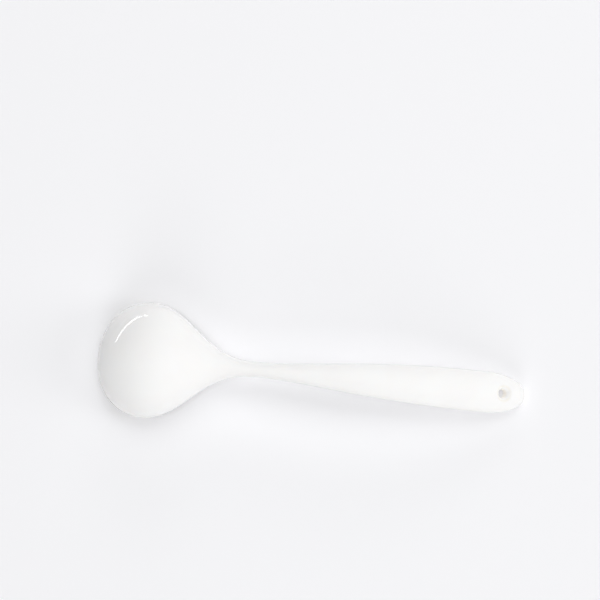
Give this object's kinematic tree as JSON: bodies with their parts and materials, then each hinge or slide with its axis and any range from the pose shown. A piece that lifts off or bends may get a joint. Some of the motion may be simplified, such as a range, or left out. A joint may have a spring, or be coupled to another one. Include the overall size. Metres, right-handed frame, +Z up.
{
  "type": "cupping spoon",
  "caption": "Porcelain tasting spoon with a deep round bowl, a slim neck and a broad flat-oval handle pierced near its end for hanging; it lies mouth down.",
  "frame": {"origin": "on the table, under the middle of the spoon's length and width as it lies mouth down", "axes": "+X from the front of the bowl to the end of the handle, +Z up from the table through the back of the bowl, XZ is the mirror plane"},
  "size_m": [0.152, 0.0408, 0.0209],
  "materials": {
    "bowl_glaze": "white porcelain under a clear gloss glaze",
    "handle_glaze": "white porcelain under a clear gloss glaze, bare in the hanging hole",
    "biscuit": "bare fired porcelain, matt"
  },
  "bodies": {
    "root": {"bowl": "bowl_glaze", "handle": "handle_glaze", "luting_slip": "biscuit"}
  },
  "joints": []
}
